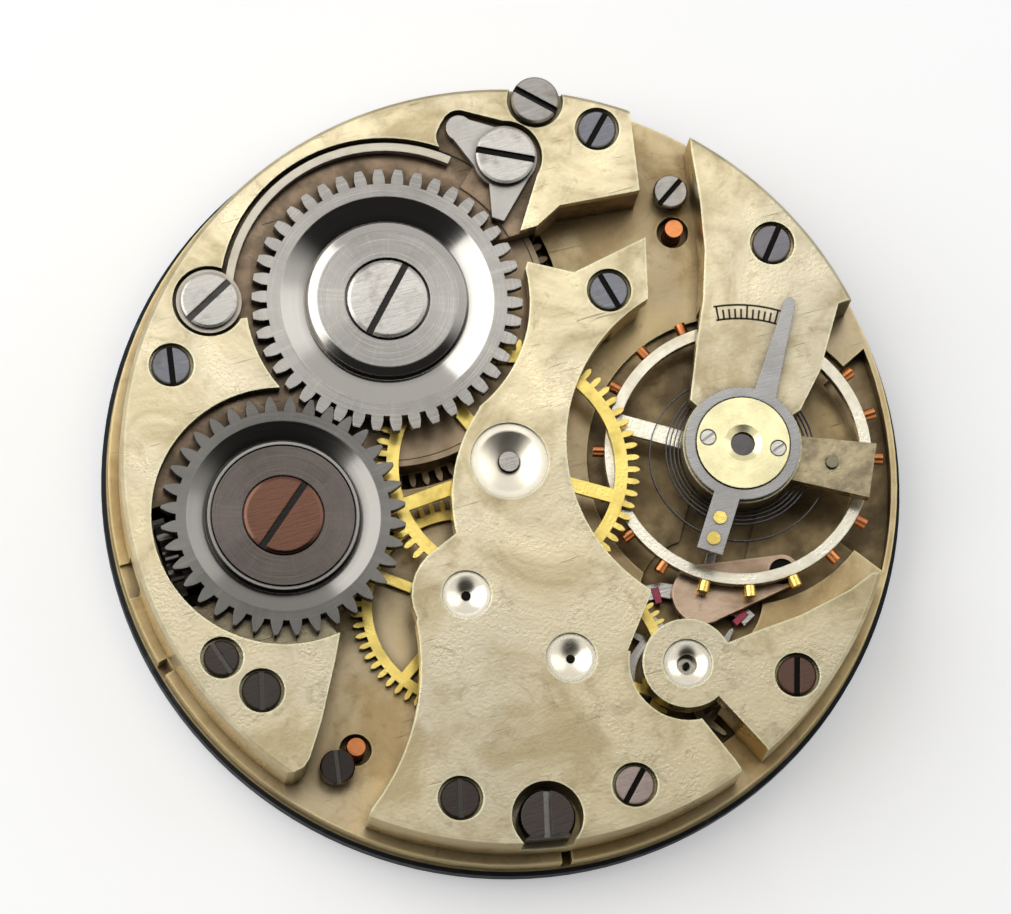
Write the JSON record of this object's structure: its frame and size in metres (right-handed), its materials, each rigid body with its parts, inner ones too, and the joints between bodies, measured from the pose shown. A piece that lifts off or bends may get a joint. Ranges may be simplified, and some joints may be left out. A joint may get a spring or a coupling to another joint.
{
  "type": "pocket watch movement",
  "caption": "Round keyless pocket watch movement: bridges, winding wheels, going train, lever escapement and balance over a plate with its dial below.",
  "frame": {"origin": "on the centre wheel's axis, at the face of the dial that the movement lies on", "axes": "+Z from the dial to the bridges, the stem enters along -X, six o'clock is -Y"},
  "size_m": [0.0398, 0.0398, 0.0066],
  "materials": {
    "nickel": "frosted nickel plate",
    "steel": "polished and snailed",
    "blued_steel": "tempered blue and brown",
    "arbor_steel": "polished",
    "wheel_brass": "gilt",
    "barrel_brass": "matte, aged",
    "copper": "bare copper",
    "gold": "polished",
    "pale_brass": "polished",
    "enamel": "fired white enamel",
    "ruby": "polished"
  },
  "bodies": {
    "frame": {"main_plate": "nickel", "barrel_bridge": "nickel", "train_bridge": "nickel", "escape_cock": "nickel", "balance_cock": "nickel", "pallet_cock": "barrel_brass", "barrel_bridge_screws": "blued_steel", "train_bridge_screws": "blued_steel", "cock_screws": "blued_steel", "case_screws": "steel", "dial": "enamel", "dial_feet": "copper", "dial_foot_screws": "blued_steel", "crown_core": "steel", "crown_core_screw": "blued_steel", "click_screw": "steel", "click_spring": "steel", "click_spring_screw": "steel", "endstone_cap": "pale_brass", "endstone_cap_screws": "steel", "balance_jewels": "ruby", "hairspring_stud": "steel", "hairspring": "blued_steel", "yoke_spring": "arbor_steel"},
    "barrel": {"barrel_drum": "barrel_brass", "barrel_cover": "barrel_brass", "mainspring": "blued_steel"},
    "winding_arbor": {"barrel_arbor": "arbor_steel", "ratchet_wheel": "steel", "ratchet_screw": "steel"},
    "crown": {"crown_wheel": "steel"},
    "winding_pinion": {"winding_pinion": "arbor_steel"},
    "clutch": {"clutch_wheel": "arbor_steel"},
    "setting_lever": {"setting_lever": "arbor_steel", "setting_lever_screw": "blued_steel"},
    "yoke": {"yoke": "arbor_steel"},
    "setting_wheel": {"setting_wheel": "arbor_steel"},
    "click": {"click": "steel"},
    "centre": {"centre_arbor": "arbor_steel", "centre_wheel": "wheel_brass", "cannon_pinion": "arbor_steel"},
    "minute": {"minute_wheel": "wheel_brass"},
    "hour": {"hour_wheel": "wheel_brass"},
    "third": {"third_arbor": "arbor_steel", "third_wheel": "wheel_brass"},
    "fourth": {"fourth_arbor": "arbor_steel", "fourth_wheel": "wheel_brass"},
    "escape": {"escape_arbor": "arbor_steel", "escape_wheel": "arbor_steel"},
    "pallet": {"pallet_fork": "arbor_steel", "pallet_arbor": "arbor_steel", "pallet_stones": "ruby"},
    "balance": {"balance_wheel": "nickel", "balance_screws": "copper", "balance_staff": "arbor_steel", "collet": "gold", "roller_table": "arbor_steel", "impulse_pin": "ruby"},
    "regulator": {"regulator": "steel", "curb_pins": "gold"}
  },
  "joints": [
    {"name": "fourth_turn", "type": "hinge", "parent": "frame", "child": "fourth", "pos_m": [0, -0.0103, 0.003], "axis": [0, 0, 1], "continuous": true},
    {"name": "third_turn", "type": "hinge", "parent": "frame", "child": "third", "pos_m": [-0.004, -0.00587, 0.003], "axis": [0, 0, 1], "continuous": true},
    {"name": "centre_turn", "type": "hinge", "parent": "frame", "child": "centre", "pos_m": [0, 0, 0.003], "axis": [0, 0, 1], "continuous": true},
    {"name": "barrel_turn", "type": "hinge", "parent": "frame", "child": "barrel", "pos_m": [-0.0034, 0.0095, 0.003], "axis": [0, 0, 1], "continuous": true},
    {"name": "escape_turn", "type": "hinge", "parent": "frame", "child": "escape", "pos_m": [0.0054, -0.01215, 0.003], "axis": [0, 0, 1], "continuous": true},
    {"name": "minute_turn", "type": "hinge", "parent": "frame", "child": "minute", "pos_m": [-0.00384, -0.00068, 0.003], "axis": [0, 0, 1], "continuous": true},
    {"name": "hour_turn", "type": "hinge", "parent": "frame", "child": "hour", "pos_m": [0, 0, 0.003], "axis": [0, 0, 1], "continuous": true},
    {"name": "setting_wheel_turn", "type": "hinge", "parent": "frame", "child": "setting_wheel", "pos_m": [-0.00872, -0.00076, 0.003], "axis": [0, 0, 1], "continuous": true},
    {"name": "ratchet_turn", "type": "hinge", "parent": "frame", "child": "winding_arbor", "pos_m": [-0.0034, 0.0095, 0.003], "axis": [0, 0, 1], "continuous": true},
    {"name": "crown_turn", "type": "hinge", "parent": "frame", "child": "crown", "pos_m": [-0.01147, 0.0004, 0.003], "axis": [0, 0, 1], "continuous": true},
    {"name": "winding_pinion_turn", "type": "hinge", "parent": "frame", "child": "winding_pinion", "pos_m": [-0.017, 0, 0.00355], "axis": [1, 0, 0], "continuous": true},
    {"name": "setting_lever_swing", "type": "hinge", "parent": "frame", "child": "setting_lever", "pos_m": [-0.0164, -0.0056, 0.0012], "axis": [0, 0, 1], "range_deg": [-0.1, 10.95]},
    {"name": "yoke_swing", "type": "hinge", "parent": "frame", "child": "yoke", "pos_m": [-0.0125, -0.0055, 0.0012], "axis": [0, 0, 1], "range_deg": [-9.4, 0.1]},
    {"name": "clutch_slide", "type": "slide", "parent": "winding_pinion", "child": "clutch", "axis": [1, 0, 0], "range_m": [0, 0.0009]},
    {"name": "click_swing", "type": "hinge", "parent": "frame", "child": "click", "pos_m": [0.00436, 0.01495, 0.0059], "axis": [0, 0, 1], "range_deg": [0, 12], "stiffness_Nm_per_rad": 0.0002, "springref_deg": -5.73},
    {"name": "pallet_swing", "type": "hinge", "parent": "frame", "child": "pallet", "pos_m": [0.00757, -0.00856, 0.003], "axis": [0, 0, 1], "range_deg": [-5, 5]},
    {"name": "balance_swing", "type": "hinge", "parent": "frame", "child": "balance", "pos_m": [0.0113, -0.0024, 0.004], "axis": [0, 0, 1], "range_deg": [-270, 270], "stiffness_Nm_per_rad": 0.0000013},
    {"name": "regulator_turn", "type": "hinge", "parent": "frame", "child": "regulator", "pos_m": [0.0113, -0.0024, 0.0063], "axis": [0, 0, 1], "range_deg": [-12, 12]}
  ],
  "couplings": [
    {"joint": "third_turn", "follows": "fourth_turn", "ratio": -0.13333},
    {"joint": "centre_turn", "follows": "fourth_turn", "ratio": 0.016667},
    {"joint": "barrel_turn", "follows": "fourth_turn", "ratio": -0.0029915},
    {"joint": "escape_turn", "follows": "fourth_turn", "ratio": -10},
    {"joint": "minute_turn", "follows": "fourth_turn", "ratio": -0.0055556},
    {"joint": "hour_turn", "follows": "fourth_turn", "ratio": 0.0013889},
    {"joint": "setting_wheel_turn", "follows": "fourth_turn", "ratio": 0.0083333},
    {"joint": "crown_turn", "follows": "ratchet_turn", "ratio": -1.1667},
    {"joint": "winding_pinion_turn", "follows": "ratchet_turn", "ratio": -3},
    {"joint": "setting_lever_swing", "follows": "clutch_slide", "rad_per_m": 209.44},
    {"joint": "yoke_swing", "follows": "clutch_slide", "rad_per_m": -178.44}
  ]
}
